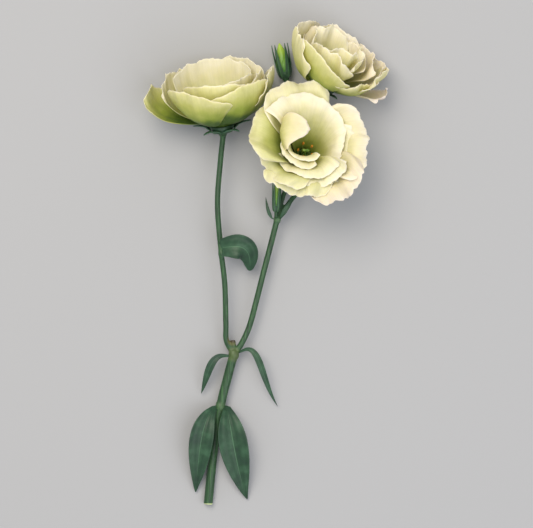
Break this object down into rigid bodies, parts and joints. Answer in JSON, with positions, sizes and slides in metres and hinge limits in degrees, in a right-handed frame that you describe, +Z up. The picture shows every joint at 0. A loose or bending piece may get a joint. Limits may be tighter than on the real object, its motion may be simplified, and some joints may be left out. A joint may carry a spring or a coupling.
{
  "type": "lisianthus flower spray",
  "caption": "Cut branched stem of double cream-green lisianthus lying flat, with open ruffled blooms, buds, narrow bracts and broad leaves.",
  "frame": {"origin": "under the middle of the spray, on the surface that it lies on", "axes": "+Y from the cut end of the stem to the flowers, +Z up from the surface, +X to the right seen from above"},
  "size_m": [0.1367, 0.2706, 0.0561],
  "materials": {
    "petal": "soft translucent petal, cream margins turning yellow-green towards the claw",
    "stem": "smooth waxy green stem",
    "leaf": "glaucous dark green leaf with a pale midrib",
    "calyx": "dark green waxy calyx",
    "bud": "closed yellow-green petals",
    "pistil": "green ovary, style and stigma",
    "stamen": "orange-yellow anthers on pale filaments"
  },
  "bodies": {
    "root": {"stem": "stem", "bloom_a_petals": "petal", "bloom_a_calyx": "calyx", "bloom_a_pistil": "pistil", "bloom_a_stamens": "stamen", "bloom_b_petals": "petal", "bloom_b_calyx": "calyx", "bloom_b_pistil": "pistil", "bloom_b_stamens": "stamen", "bloom_c_petals": "petal", "bloom_c_calyx": "calyx", "bloom_c_pistil": "pistil", "bloom_c_stamens": "stamen", "young_bud_petals": "bud", "young_bud_calyx": "calyx", "green_bud_petals": "bud", "green_bud_calyx": "calyx", "lower_leaf_right": "leaf", "lower_leaf_left": "leaf", "fork_leaf_right": "leaf", "fork_leaf_left": "leaf", "branch_leaf": "leaf", "upper_bract_left": "leaf", "upper_bract_right": "leaf", "bud_node_bract_left": "leaf", "bud_node_bract_right": "leaf"}
  },
  "joints": []
}
